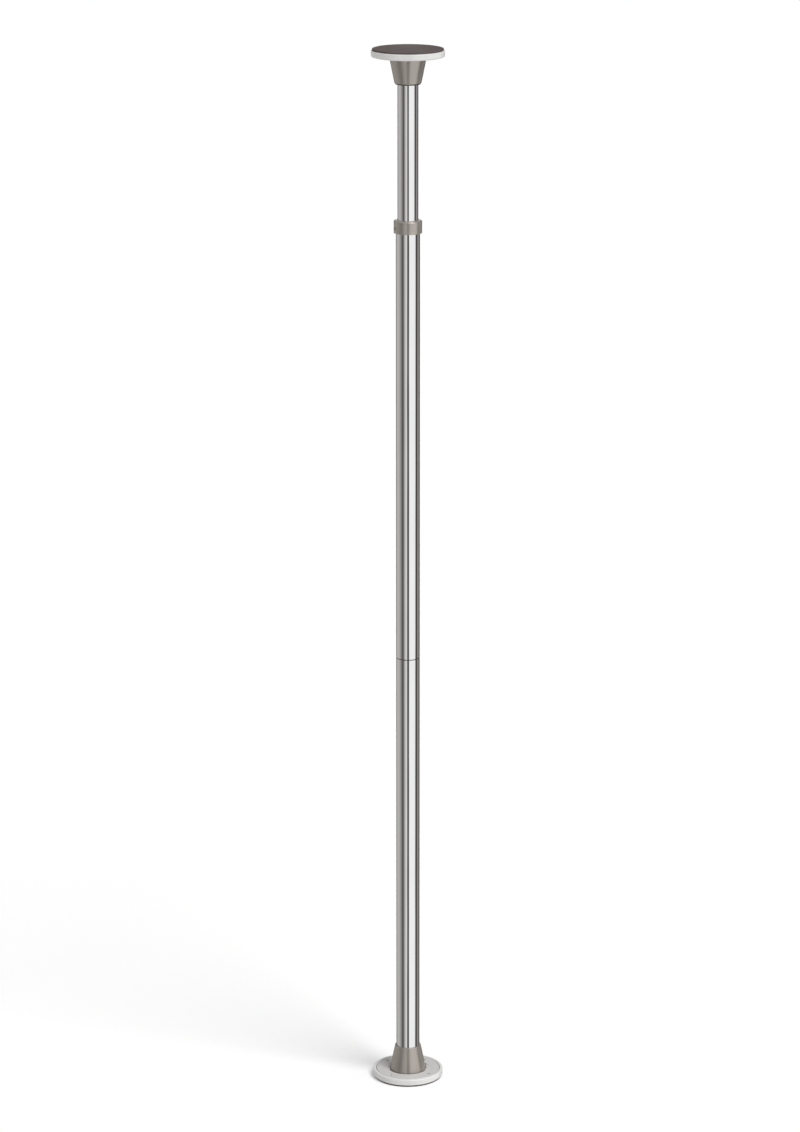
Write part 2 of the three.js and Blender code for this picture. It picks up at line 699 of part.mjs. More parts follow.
// Swivel of the upper foot. Its heights run down the pole from that foot's base.
function makeSwivel() {
  const swivel = new THREE.Group();
  const bore = spindleRadius + seatGap;
  const headRadius = spindleRadius + spindleHeadRim;
  const washerStart = extensionEnd + swivelPlugLength + seatGap;
  const washerEnd = washerStart + spindleWasherThickness;
  const nutStart = washerEnd + seatGap;
  const nutEnd = nutStart + spindleNutHeight;
  const spindle = turned([
    [0, plateUnder],
    [headRadius, plateUnder],
    [headRadius, sunkHeadTop],
    [spindleRadius, sunkHeadTop],
    [spindleRadius, nutEnd + spindleTail - chamfer],
    [spindleRadius - chamfer, nutEnd + spindleTail],
    [0, nutEnd + spindleTail],
  ], fastenerSides);
  swivel.add(piece("swivel_spindle", spindle, zincSteel));
  const thrust = ring(bore, extensionRadius, plateSeat, plateSeat + thrustWasherThickness, fastenerSides);
  swivel.add(piece("swivel_thrust_washer", thrust, brass));
  const washer = ring(bore, spindleRadius + spindleWasherRim, washerStart, washerEnd, fastenerSides);
  swivel.add(piece("swivel_washer", washer, zincSteel));
  const nut = nutShape(2 * (spindleRadius + spindleNutWall), bore, nutStart, nutEnd);
  swivel.add(piece("swivel_lock_nut", nut, zincSteel));

  const reducerBore = extensionRadius + slideGap;
  const reducerOuter = sleeveBore - seatGap;
  const reducerStart = (plateSeat + footLength) / 2;
  const lipSeat = footLength + seatGap;
  const reducer = turned([
    [reducerBore, reducerStart],
    [reducerOuter, reducerStart],
    [reducerOuter, lipSeat],
    [mouthRadius - chamfer, lipSeat],
    [reducerOuter, lipSeat + bushLip],
    [reducerBore, lipSeat + bushLip],
  ], tubeSides);
  swivel.add(piece("head_reducer_bush", reducer, nylon));
  return swivel;
}

// Stands an object at a height.
function standing(object, height) {
  object.position.z = height;
  return object;
}

// Hangs an object upside down from a height.
function hanging(object, height) {
  object.rotation.x = Math.PI;
  object.position.z = height;
  return object;
}

const clamps = new THREE.Group().add(...makeClamp("right", 1), ...makeClamp("left", -1));
const dancePole = new THREE.Group().add(
  makeCap("floor_cap"),
  standing(makeFoot("foot", jackRadius, jackHeadRim), footBase),
  standing(makeJack(), footBase),
  standing(makeGlideRing(), footBase),
  standing(makeLowerPole(), lowerTubeBottom),
  standing(makeSeamWasher(), lowerTubeTop),
  standing(makeMiddlePole(), middleTubeBottom),
  standing(clamps, middleTubeBottom),
  standing(makeExtension(), extensionTop - tubeLength),
  hanging(makeSwivel(), headBase),
  hanging(makeFoot("head", spindleRadius, spindleHeadRim), headBase),
  hanging(makeCap("ceiling_cap"), poleHeight),
);

export default dancePole;
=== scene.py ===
import math

import bmesh
import bpy
from mathutils import Matrix, Vector


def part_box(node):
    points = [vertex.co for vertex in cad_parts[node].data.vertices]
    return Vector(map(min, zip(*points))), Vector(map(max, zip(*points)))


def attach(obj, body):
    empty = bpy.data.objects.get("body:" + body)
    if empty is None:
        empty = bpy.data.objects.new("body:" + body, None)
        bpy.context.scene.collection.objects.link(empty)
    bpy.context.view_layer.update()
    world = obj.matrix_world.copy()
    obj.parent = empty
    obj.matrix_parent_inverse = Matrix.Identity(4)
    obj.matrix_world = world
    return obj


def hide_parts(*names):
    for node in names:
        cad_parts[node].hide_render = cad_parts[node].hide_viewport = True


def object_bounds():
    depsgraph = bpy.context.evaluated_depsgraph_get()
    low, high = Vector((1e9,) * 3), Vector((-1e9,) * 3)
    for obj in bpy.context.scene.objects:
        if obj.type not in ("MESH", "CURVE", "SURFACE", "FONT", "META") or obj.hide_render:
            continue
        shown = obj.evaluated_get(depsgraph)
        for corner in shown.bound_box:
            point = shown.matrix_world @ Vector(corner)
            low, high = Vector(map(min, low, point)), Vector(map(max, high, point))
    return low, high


# The pole as it was packed, standing between floor and ceiling. Everything here is in metres,
# +Z up, with the origin on the floor on the pole's axis.
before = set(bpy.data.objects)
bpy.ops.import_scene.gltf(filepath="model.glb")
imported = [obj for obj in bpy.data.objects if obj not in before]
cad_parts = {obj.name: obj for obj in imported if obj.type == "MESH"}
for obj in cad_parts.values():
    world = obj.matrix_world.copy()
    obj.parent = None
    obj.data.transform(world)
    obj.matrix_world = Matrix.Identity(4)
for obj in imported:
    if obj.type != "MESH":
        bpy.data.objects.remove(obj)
cad_low, cad_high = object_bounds()
pole_top = cad_high.z
scene = bpy.context.scene
scene.view_settings.view_transform = "Standard"


# Camera. It stands to the left of the pole's front and above its middle, a long way off,
# with a long lens, so that the pole fills the height of the frame and stays upright.
def outwards(turn, rise):
    """The direction from the pole to something turned from its front and raised from level."""
    return Vector((math.sin(turn) * math.cos(rise), -math.cos(turn) * math.cos(rise), math.sin(rise)))


camera_turn = math.radians(-27.5)
camera_rise = math.radians(15)
camera_distance = 7.94
camera_aim = pole_top / 2 + 0.03
camera_data = bpy.data.cameras.new("camera")
camera_data.sensor_width = 36
camera_data.lens = 120
camera_data.shift_x = -0.007
camera_data.clip_end = 200
camera_back = outwards(camera_turn, camera_rise)
camera = bpy.data.objects.new("camera", camera_data)
camera.location = Vector((0, 0, camera_aim)) + camera_back * camera_distance
camera.rotation_euler = camera_back.to_track_quat("Z", "Y").to_euler()
scene.collection.objects.link(camera)
scene.camera = camera


# Studio floor: a wide, plain white sheet that holds the pole's soft shadow. A little of its
# white comes from itself, for the camera and for reflections alone, as with a lit sheet.
# From beneath it is clear, so that the undersides can be seen.
def add_node(tree, kind, inputs=None, **settings):
    """Adds a node, with values or links for its sockets and settings for itself."""
    made = tree.nodes.new("ShaderNode" + kind)
    for key, value in settings.items():
        setattr(made, key, value)
    for key, value in (inputs or {}).items():
        if isinstance(value, bpy.types.NodeSocket):
            tree.links.new(value, made.inputs[key])
        else:
            made.inputs[key].default_value = value
    return made


def calculated(tree, operation, *values):
    """One step of arithmetic on values or on other nodes' outputs."""
    return add_node(tree, "Math", dict(enumerate(values)), operation=operation).outputs[0]


def seen_directly(tree):
    """1 for what the camera sees, straight or in a reflection or through glass, 0 for light."""
    path = add_node(tree, "LightPath").outputs
    mirrored = calculated(tree, "MAXIMUM", path["Is Camera Ray"], path["Is Glossy Ray"])
    return calculated(tree, "MAXIMUM", mirrored, path["Is Transmission Ray"])


def staged(name, shape, material):
    """Makes a piece of the studio, which is no part of the pole."""
    mesh = bpy.data.meshes.new(name)
    shape.to_mesh(mesh)
    shape.free()
    mesh.materials.append(material)
    thing = bpy.data.objects.new(name, mesh)
    scene.collection.objects.link(thing)
    return thing


def bare_tree(owner):
    """Empties a material or a world, and gives its node tree and its output."""
    owner.use_nodes = True
    owner.node_tree.nodes.clear()
    kind = "OutputWorld" if isinstance(owner, bpy.types.World) else "OutputMaterial"
    return owner.node_tree, owner.node_tree.nodes.new("ShaderNode" + kind)


floor_reach = 45
floor_white = (0.9, 0.9, 0.9, 1)
floor_own_light = 0.1
floor_sheet = bpy.data.materials.new("floor sheet")
tree, output = bare_tree(floor_sheet)
paper = add_node(tree, "BsdfDiffuse", {"Color": floor_white})
lit = calculated(tree, "MULTIPLY", seen_directly(tree), floor_own_light)
glow = add_node(tree, "Emission", {"Strength": lit})
both = add_node(tree, "AddShader", {0: paper.outputs[0], 1: glow.outputs[0]})
from_beneath = add_node(tree, "NewGeometry").outputs["Backfacing"]
clear = add_node(tree, "BsdfTransparent")
sheet = add_node(tree, "MixShader", {0: from_beneath, 1: both.outputs[0], 2: clear.outputs[0]})
tree.links.new(sheet.outputs[0], output.inputs["Surface"])
shape = bmesh.new()
bmesh.ops.create_grid(shape, x_segments=1, y_segments=1, size=floor_reach)
staged("floor", shape, floor_sheet)

# Studio light: an even, pale surround, and one broad lamp from the camera's upper right.
# Together they light a level white surface to about its own white.
white = (1, 1, 1, 1)
surround_light = 0.55
lamp_light = 1.85
lamp_spread = math.radians(28)
lamp_turn = camera_turn + math.radians(48)
lamp_rise = math.radians(52)
world = bpy.data.worlds.new("surround")
scene.world = world
tree, output = bare_tree(world)
seen = add_node(tree, "Background", {"Color": white, "Strength": 1})
lighting = add_node(tree, "Background", {"Color": white, "Strength": surround_light})
mixed = add_node(tree, "MixShader", {0: seen_directly(tree), 1: lighting.outputs[0], 2: seen.outputs[0]})
tree.links.new(mixed.outputs[0], output.inputs["Surface"])
lamp_data = bpy.data.lights.new("lamp", "SUN")
lamp_data.energy = lamp_light
lamp_data.angle = lamp_spread
lamp = bpy.data.objects.new("lamp", lamp_data)
lamp.rotation_euler = outwards(lamp_turn, lamp_rise).to_track_quat("Z", "Y").to_euler()
scene.collection.objects.link(lamp)

# Reflection tent: a round screen close about the pole and taller than it is at its longest, which
# only the chrome and the gloss see. Its strips give the chrome its upright bands, and the darker
# a strip is, the warmer its grey.
tent_radius = 0.08
tent_height = pole_top + 0.75
tent_steps = 96
tent_warmth = (0, 0.06, 0.1)
# degrees round from the camera, and the brightness there, which runs evenly to the next
tent_strips = (
    (-180, 0.92), (-156, 0.96), (-151, 0.06), (-139, 0.05), (-129, 0.3), (-112, 0.5), (-84, 0.5),
    (-62, 0.3), (-47, 0.1), (-38, 0.12), (-22, 0.6), (-9, 0.8), (-4, 0.1), (7, 0.06), (11, 0.9),
    (16, 0.98), (56, 0.96), (64, 0.88), (69, 0.1), (80, 0.04), (85, 0.12), (93, 0.3), (106, 0.28),
    (124, 0.1), (141, 0.04), (151, 0.06), (156, 0.96), (180, 0.92),
)
tent_cloth = bpy.data.materials.new("tent cloth")
tree, output = bare_tree(tent_cloth)
place = add_node(tree, "TexCoord").outputs["Object"]
to_camera = (0, 0, math.pi / 2 - camera_turn)
turned_round = add_node(tree, "Mapping", {"Vector": place, "Rotation": to_camera}).outputs[0]
round_about = add_node(tree, "TexGradient", {"Vector": turned_round}, gradient_type="RADIAL")
strips = add_node(tree, "ValToRGB", {"Fac": round_about.outputs["Fac"]})
ramp = strips.color_ramp
while len(ramp.elements) < len(tent_strips):
    ramp.elements.new(0.5)
for stop, (degrees, value) in zip(ramp.elements, tent_strips):
    stop.position = (degrees + 180) / 360
    stop.color = (*(value * (1 - warmth * (1 - value)) for warmth in tent_warmth), 1)
cloth = add_node(tree, "Emission", {"Color": strips.outputs["Color"]})
tree.links.new(cloth.outputs[0], output.inputs["Surface"])
shape = bmesh.new()
bmesh.ops.create_circle(shape, cap_ends=False, radius=tent_radius, segments=tent_steps)
rim = bmesh.ops.extrude_edge_only(shape, edges=shape.edges[:])
raised = [part for part in rim["geom"] if isinstance(part, bmesh.types.BMVert)]
bmesh.ops.translate(shape, verts=raised, vec=(0, 0, tent_height))
tent = staged("reflection_tent", shape, tent_cloth)
for sight in ("camera", "diffuse", "transmission", "volume_scatter", "shadow"):
    setattr(tent, "visible_" + sight, False)


# Cap pads: a disc of dense brown-grey rubber glued under each cap, with its edge eased.
# The ceiling's cap is the floor's turned over, so its pad faces up.
def new_effect(name, inputs, output):
    """Starts a shared effect, with named values going in and one coming out."""
    group = bpy.data.node_groups.new(name, "ShaderNodeTree")
    for label, kind, value in inputs:
        socket = group.interface.new_socket(label, in_out="INPUT", socket_type="NodeSocket" + kind)
        socket.default_value = value
    group.interface.new_socket(output[0], in_out="OUTPUT", socket_type="NodeSocket" + output[1])
    return group, group.nodes.new("NodeGroupInput").outputs, group.nodes.new("NodeGroupOutput").inputs


def noise_at(tree, scale, detail=3, stretch=None):
    """Noise on the object's own coordinates, stretched where asked. Most of it is from 0.3 to 0.7."""
    place = add_node(tree, "TexCoord").outputs["Object"]
    if stretch:
        place = add_node(tree, "Mapping", {"Vector": place, "Scale": stretch}).outputs[0]
    return add_node(tree, "TexNoise", {"Vector": place, "Scale": scale, "Detail": detail}).outputs[0]


def ramped(tree, value, start, end, low=0, high=1):
    """Takes a value from one range to another, smoothly."""
    return add_node(tree, "MapRange", {0: value, 1: start, 2: end, 3: low, 4: high},
                    interpolation_type="SMOOTHSTEP").outputs[0]


def mixed_colour(tree, share, first, second):
    """Mixes two colours."""
    mix = tree.nodes.new("ShaderNodeMix")
    mix.data_type = "RGBA"
    for index, value in ((0, share), (6, first), (7, second)):
        tree.links.new(value, mix.inputs[index])
    return mix.outputs[2]


drift, given, out = new_effect("colour drift", (
    ("Colour", "Color", (0.5, 0.5, 0.5, 1)), ("Spread", "Float", 0.05), ("Scale", "Float", 30),
), ("Colour", "Color"))
less = calculated(drift, "SUBTRACT", 1, given["Spread"])
more = calculated(drift, "ADD", 1, given["Spread"])
level = ramped(drift, noise_at(drift, given["Scale"]), 0.3, 0.7, less, more)
tinted = add_node(drift, "VectorMath", {0: given["Colour"], "Scale": level}, operation="SCALE")
drift.links.new(tinted.outputs[0], out["Colour"])

# the larger the share of flecks, the lower the noise's value at which one starts
flecks, given, out = new_effect("flecks", (
    ("Colour", "Color", (0.1, 0.1, 0.1, 1)), ("Fleck", "Color", (0.2, 0.2, 0.2, 1)),
    ("Scale", "Float", 900), ("Share", "Float", 0.4),
), ("Colour", "Color"))
fleck_blur = 0.12
cloud_scale = 26
start = calculated(flecks, "MULTIPLY_ADD", given["Share"], -0.3, 0.68)
end = calculated(flecks, "ADD", start, fleck_blur)
spots = ramped(flecks, noise_at(flecks, given["Scale"], 2), start, end)
cloudy = ramped(flecks, noise_at(flecks, cloud_scale, 4), 0.35, 0.7, 0.35, 1)
share = calculated(flecks, "MULTIPLY", spots, cloudy)
flecks.links.new(mixed_colour(flecks, share, given["Colour"], given["Fleck"]), out["Colour"])

grain, given, out = new_effect("moulded grain", (("Scale", "Float", 1500),), ("Height", "Float"))
pit_depth = 0.6
ripple_scale = 420
cells = add_node(grain, "TexVoronoi", {
    "Vector": add_node(grain, "TexCoord").outputs["Object"], "Scale": given["Scale"],
}, feature="SMOOTH_F1")
pits = ramped(grain, cells.outputs["Distance"], 0.1, 0.8)
whole = calculated(grain, "MULTIPLY_ADD", pits, pit_depth, noise_at(grain, ripple_scale, 4))
grain.links.new(whole, out["Height"])


def surface(name, colour, roughness=None, relief=None, **constants):
    """A finish: each of colour, roughness and relief is an effect with its own values."""
    material = bpy.data.materials.new(name)
    material.use_nodes = True
    tree = material.node_tree
    shader = tree.nodes["Principled BSDF"]
    for key, value in constants.items():
        shader.inputs[key.replace("_", " ")].default_value = value

    def placed(effect, values):
        node = tree.nodes.new("ShaderNodeGroup")
        node.node_tree = effect
        for key, value in values.items():
            node.inputs[key].default_value = value
        return node.outputs[0]

    tree.links.new(placed(*colour), shader.inputs["Base Color"])
    if roughness:
        tree.links.new(placed(*roughness), shader.inputs["Roughness"])
    if relief:
        effect, values, strength, depth = relief
        height = placed(effect, values)
        bump = add_node(tree, "Bump", {"Strength": strength, "Distance": depth, "Height": height})
        tree.links.new(bump.outputs[0], shader.inputs["Normal"])
    return material


centre = (0, 0, 0)
axis = (0, 0, 1)
crease = math.radians(34)


def all_of(shape):
    """Every corner, edge and face of a shape."""
    return shape.verts[:] + shape.edges[:] + shape.faces[:]


def turned(corners, steps=128, round_steps=6):
    """Turns an outline of (radius, height) corners about the axis. A third number rounds a corner."""
    shape = bmesh.new()
    points = [shape.verts.new((corner[0], 0, corner[1])) for corner in corners]
    for start, end in zip(points, points[1:]):
        shape.edges.new((start, end))
    if corners[0][0] > 0:
        shape.edges.new((points[-1], points[0]))
    for point, corner in zip(points, corners):
        if len(corner) > 2:
            bmesh.ops.bevel(shape, geom=[point], offset=corner[2], offset_type="OFFSET",
                            segments=round_steps, profile=0.5, affect="VERTICES", material=-1)
    bmesh.ops.spin(shape, geom=all_of(shape), cent=centre, axis=axis, dvec=centre,
                   angle=math.tau, steps=steps, use_merge=True)
    return closed(shape)


def closed(shape):
    """Merges doubles, and turns all faces outwards."""
    bmesh.ops.remove_doubles(shape, verts=shape.verts[:], dist=1e-7)
    bmesh.ops.recalc_face_normals(shape, faces=shape.faces[:])
    return shape


def finished(node, shape, material, body, place=None):
    """Makes the piece that stands for a node of the frame, and fixes it to its body."""
    if place:
        bmesh.ops.transform(shape, matrix=place, verts=shape.verts[:])
    for face in shape.faces:
        face.smooth = True
    for edge in shape.edges:
        edge.smooth = edge.calc_face_angle(0) < crease
    name = node + "_fine"
    mesh = bpy.data.meshes.new(name)
    shape.to_mesh(mesh)
    shape.free()
    mesh.materials.append(material)
    piece = bpy.data.objects.new(name, mesh)
    scene.collection.objects.link(piece)
    piece.modifiers.new("even shading", "WEIGHTED_NORMAL").keep_sharp = True
    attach(piece, body)
    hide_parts(node)


# how far a fine edge is taken off
fine = 0.0003
upright = Matrix.Identity(4)
hung = Matrix.Translation((0, 0, pole_top)) @ Matrix.Rotation(math.pi, 4, "X")
caps = (("floor_cap", upright), ("ceiling_cap", hung))
brown_rubber = surface(
    "brown rubber",
    (flecks, {
        "Colour": (0.091, 0.071, 0.066, 1), "Fleck": (0.177, 0.139, 0.129, 1),
        "Scale": 1300, "Share": 0.5,
    }),
    relief=(grain, {"Scale": 1100}, 0.5, 0.00025),
    Roughness=0.86,
    Specular_IOR_Level=0.35,
)
pad_low, pad_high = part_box("floor_cap_pad")
pad_edge = 0.0009
for cap, place in caps:
    shape = turned([
        (0, pad_low.z),
        (pad_high.x, pad_low.z, pad_edge),
        (pad_high.x, pad_high.z, fine),
        (0, pad_high.z),
    ])
    finished(cap + "_pad", shape, brown_rubber, cap, place)


# Cap trays: a white moulded dish with a full round rim. Four fixing holes go through its floor,
# and the screws that hold the locking plate come up through four sunk holes from beneath.
def copies_round(shape, count, first=0):
    """Turns a shape to its first angle and repeats it evenly round the axis."""
    start = Matrix.Rotation(math.radians(first), 3, "Z")
    bmesh.ops.rotate(shape, verts=shape.verts[:], matrix=start)
    bmesh.ops.spin(shape, geom=all_of(shape), cent=centre, axis=axis, dvec=centre,
                   angle=math.tau * (count - 1) / count, steps=count - 1, use_duplicate=True)
    return shape


def moved(shape, x=0, z=0):
    """Shifts a shape out along X or up."""
    bmesh.ops.translate(shape, verts=shape.verts[:], vec=(x, 0, z))
    return shape


def combined(shape, tool, operation="DIFFERENCE"):
    """Cuts one closed shape from another, joins the two, or keeps what they share."""
    pair = []
    for part in (shape, tool):
        mesh = bpy.data.meshes.new("blank")
        part.to_mesh(mesh)
        part.free()
        thing = bpy.data.objects.new("blank", mesh)
        scene.collection.objects.link(thing)
        pair.append(thing)
    step = pair[0].modifiers.new("step", "BOOLEAN")
    step.operation = operation
    step.object = pair[1]
    step.solver = "EXACT"
    worked = pair[0].evaluated_get(bpy.context.evaluated_depsgraph_get())
    mesh = bpy.data.meshes.new_from_object(worked)
    result = bmesh.new()
    result.from_mesh(mesh)
    bpy.data.meshes.remove(mesh)
    for thing in pair:
        bpy.data.meshes.remove(thing.data)
    return closed(result)


def rod(radius, bottom, top, steps=32, edge=0):
    """An upright round bar."""
    ends = (edge,) if edge else ()
    return turned([(0, bottom), (radius, bottom, *ends), (radius, top, *ends), (0, top)], steps, 3)


white_plastic = surface(
    "white plastic",
    (drift, {"Colour": (0.7, 0.697, 0.687, 1), "Spread": 0.02, "Scale": 40}),
    relief=(grain, {"Scale": 2600}, 0.25, 0.00008),
    Roughness=0.36,
)
tray_low, tray_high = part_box("floor_cap_shell")
tray_radius = tray_high.x
tray_rim = 0.0065
tray_floor = tray_low.z + 0.0022
tray_well = tray_radius - tray_rim
under_round = 0.0021
outer_round = 0.003
inner_round = 0.0014
fixing_count = 4
fixing_angle = 23
fixing_radius = 0.0025
fixing_circle = 0.0573
cap_screw_count = 4
cap_screw_angle = fixing_angle + 45
cap_screw_radius = 0.0015
cap_screw_head = 0.003
cap_screw_seat = tray_low.z + 0.0014
# the play about whatever goes through a hole
clearance = 0.0003
for cap, place in caps:
    shape = turned([
        (0, tray_low.z),
        (tray_radius, tray_low.z, under_round),
        (tray_radius, tray_high.z, outer_round),
        (tray_well, tray_high.z, inner_round),
        (tray_well, tray_floor, fine),
        (0, tray_floor),
    ])
    hole = moved(rod(fixing_radius, 0, tray_high.z), fixing_circle)
    shape = combined(shape, copies_round(hole, fixing_count, fixing_angle))
    sunk = turned([
        (0, 0),
        (cap_screw_head + clearance, 0),
        (cap_screw_head + clearance, cap_screw_seat),
        (cap_screw_radius + clearance, cap_screw_seat),
        (cap_screw_radius + clearance, tray_high.z),
        (0, tray_high.z),
    ], 32)
    sunk = copies_round(moved(sunk, fixing_circle), cap_screw_count, cap_screw_angle)
    shape = combined(shape, sunk)
    finished(cap + "_shell", shape, white_plastic, cap, place)


# Locking plates: pale grey mouldings that drop into the trays inside a narrow groove, with
# countersunk fixing holes, a raised lip about the recess and two tabs that lock the foot.
def sector(inner, outer, bottom, top, middle, sweep, steps=24):
    """A block that runs round the axis for part of a turn."""
    shape = bmesh.new()
    corners = ((inner, bottom), (outer, bottom), (outer, top), (inner, top))
    shape.faces.new([shape.verts.new((radius, 0, height)) for radius, height in corners])
    start = Matrix.Rotation(math.radians(middle - sweep / 2), 3, "Z")
    bmesh.ops.rotate(shape, verts=shape.verts[:], matrix=start)
    bmesh.ops.spin(shape, geom=all_of(shape), cent=centre, axis=axis, dvec=centre,
                   angle=math.radians(sweep), steps=steps)
    return closed(shape)


pale_grey_plastic = surface(
    "pale grey plastic",
    (drift, {"Colour": (0.585, 0.572, 0.57, 1), "Spread": 0.03, "Scale": 55}),
    relief=(grain, {"Scale": 1900}, 0.4, 0.00012),
    Roughness=0.46,
)
plate_low, plate_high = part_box("floor_cap_plate")
plate_wall = 0.0022
plate_edge = 0.0008
recess_radius = 0.0434
recess_wall = recess_radius + plate_wall
lip_height = 0.0006
lip_foot = recess_radius + 0.0026
lip_crest = recess_radius + 0.0019
plate_face = plate_high.z - lip_height
plate_under = plate_face - plate_wall
plate_skirt = plate_high.x - plate_wall
boss_top = plate_face - plate_wall / 2
boss_radius = fixing_radius + 0.0032
post_radius = cap_screw_radius + plate_wall
tab_count = 2
tab_sweep = 44
tab_angle = 148
tab_radius = 0.0398
tab_under = 0.0137
hollow_radius = fixing_radius + 0.0017
sink_radius = fixing_radius + 0.0007
sink_depth = 0.0006
pilot_top = 0.0127
# how far eased and soft edges are taken off
eased = 0.0004
soft = 0.0005
# the least by which two shapes run into each other where they are joined or cut, and how far
# a cutter runs on past a face
skim = 0.0001
overrun = 0.002
for cap, place in caps:
    shape = turned([
        (recess_radius, plate_low.z),
        (recess_wall, plate_low.z),
        (recess_wall, plate_under, fine),
        (plate_skirt, plate_under, fine),
        (plate_skirt, plate_low.z),
        (plate_high.x, plate_low.z),
        (plate_high.x, plate_face, plate_edge),
        (lip_foot, plate_face, soft),
        (lip_crest, plate_high.z, eased),
        (recess_radius, plate_high.z, eased),
    ])
    boss = moved(rod(boss_radius, plate_low.z, boss_top), fixing_circle)
    shape = combined(shape, copies_round(boss, fixing_count, fixing_angle), "UNION")
    post = moved(rod(post_radius, plate_low.z, boss_top), fixing_circle)
    shape = combined(shape, copies_round(post, cap_screw_count, cap_screw_angle), "UNION")
    tab = sector(tab_radius, recess_radius + plate_wall / 2, tab_under, plate_face, 0, tab_sweep)
    square_edges = [edge for edge in tab.edges if edge.calc_face_angle(0) > crease]
    bmesh.ops.bevel(tab, geom=square_edges, offset=eased, offset_type="OFFSET", segments=3,
                    profile=0.5, affect="EDGES", material=-1)
    shape = combined(shape, copies_round(tab, tab_count, tab_angle), "UNION")
    sink = turned([
        (0, 0),
        (hollow_radius, 0),
        (hollow_radius, plate_under),
        (fixing_radius, plate_under + fine),
        (fixing_radius, plate_face - sink_depth),
        (sink_radius, plate_face + skim),
        (sink_radius, plate_high.z + overrun),
        (0, plate_high.z + overrun),
    ], 40)
    sink = copies_round(moved(sink, fixing_circle), fixing_count, fixing_angle)
    shape = combined(shape, sink)
    pilot = moved(rod(cap_screw_radius + clearance, 0, pilot_top), fixing_circle)
    shape = combined(shape, copies_round(pilot, cap_screw_count, cap_screw_angle))
    finished(cap + "_plate", shape, pale_grey_plastic, cap, place)


# Cap screws: small zinc-plated, flat-headed screws with a cross recess. They join each tray to
# its plate from beneath, where the pad hides them.
def helix(root, crest, pitch, bottom, top, steps=48, flat=0.12):
    """A threaded bar: one groove and ridge is carried up a screw path and cut level at both ends."""
    shape = bmesh.new()
    section = (
        (root, 0), (root, flat), (crest, 0.5 - flat / 2), (crest, 0.5 + flat / 2), (root, 1 - flat),
        (root, 1),
    )
    start = bottom - pitch
    points = [shape.verts.new((radius, 0, start + share * pitch)) for radius, share in section]
    for first, second in zip(points, points[1:]):
        shape.edges.new((first, second))
    turns = math.ceil((top - bottom) / pitch) + 2
    bmesh.ops.spin(shape, geom=all_of(shape), cent=centre, axis=axis, dvec=(0, 0, pitch / steps),
                   angle=math.tau * turns, steps=steps * turns)
    bmesh.ops.remove_doubles(shape, verts=shape.verts[:], dist=pitch * 0.005)
    for height, side in ((bottom, -1), (top, 1)):
        bmesh.ops.bisect_plane(shape, geom=all_of(shape), dist=1e-8, plane_co=(0, 0, height),
                               plane_no=(0, 0, side), clear_outer=True)
    bmesh.ops.holes_fill(shape, edges=[edge for edge in shape.edges if edge.is_boundary], sides=0)
    return closed(shape)


def sunk_screw(radius, head, bottom, head_top, tip):
    """A flat-headed screw that stands on its head, with a cross recess in it."""
    shank = radius * 0.8
    core = radius * 0.78
    pitch = radius * 0.62
    slot_length, slot_width, slot_depth = head * 1.1, head * 0.24, (head_top - bottom) * 1.2
    shape = turned([
        (0, bottom),
        (head, bottom, burr),
        (head, head_top, burr),
        (shank, head_top),
        (shank, tip - radius),
        (0, tip),
    ], 32, 3)
    thread = helix(core, radius, pitch, head_top - skim, tip - radius, 24)
    shape = combined(shape, thread, "UNION")
    size = Matrix.Diagonal((slot_length, slot_width, slot_depth, 1))
    for sweep in (0, 90):
        slot = bmesh.new()
        bmesh.ops.create_cube(slot, size=1)
        place = Matrix.Translation((0, 0, bottom)) @ Matrix.Rotation(math.radians(sweep), 4, "Z")
        bmesh.ops.transform(slot, matrix=place @ size, verts=slot.verts[:])
        shape = combined(shape, slot)
    return shape


marks, given, out = new_effect("handling marks", (
    ("Clean", "Float", 0.2), ("Marked", "Float", 0.35), ("Scale", "Float", 60),
), ("Roughness", "Float"))
smears = noise_at(marks, given["Scale"], 5, (1, 1, 0.3))
marks.links.new(ramped(marks, smears, 0.42, 0.78, given["Clean"], given["Marked"]), out["Roughness"])
zinc_steel = surface(
    "zinc-plated steel",
    (drift, {"Colour": (0.6, 0.605, 0.62, 1), "Spread": 0.08, "Scale": 180}),
    (marks, {"Clean": 0.24, "Marked": 0.42, "Scale": 220}),
    (grain, {"Scale": 3200}, 0.2, 0.00005),
    Metallic=1,
)
# an edge that only loses its burr
burr = 0.0002
screw_low, screw_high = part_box("floor_cap_screw_1")
cap_screw_top = tray_low.z + 0.0011
for cap, place in caps:
    for index in range(cap_screw_count):
        shape = sunk_screw(cap_screw_radius, cap_screw_head, screw_low.z, cap_screw_top, screw_high.z)
        turn = Matrix.Rotation(math.radians(cap_screw_angle + 360 / cap_screw_count * index), 4, "Z")
        finished(f"{cap}_screw_{index + 1}", moved(shape, fixing_circle), zinc_steel,
                 cap, place @ turn)

# Tapered feet: satin silver-grey mouldings, the same at both ends of the pole. A cone runs from
# the mouth about the tube down to a rolled bead, which is notched for the cap's tabs.
wear, given, out = new_effect("rim wear", (
    ("Radius", "Float", 0.04), ("Width", "Float", 0.001), ("Colour", "Color", (0.4, 0.4, 0.4, 1)),
    ("Worn", "Color", (0.5, 0.5, 0.5, 1)),
), ("Colour", "Color"))
parts = add_node(wear, "SeparateXYZ", {0: add_node(wear, "TexCoord").outputs["Object"]}).outputs
level_part = add_node(wear, "CombineXYZ", {0: parts["X"], 1: parts["Y"]}).outputs[0]
reach = add_node(wear, "VectorMath", {0: level_part}, operation="LENGTH").outputs["Value"]
inside = calculated(wear, "SUBTRACT", given["Radius"], given["Width"])
near_rim = ramped(wear, reach, inside, given["Radius"])
rubbed = ramped(wear, noise_at(wear, 240, 4), 0.38, 0.62, 0.15, 1)
share = calculated(wear, "MULTIPLY", near_rim, rubbed)
wear.links.new(mixed_colour(wear, share, given["Colour"], given["Worn"]), out["Colour"])
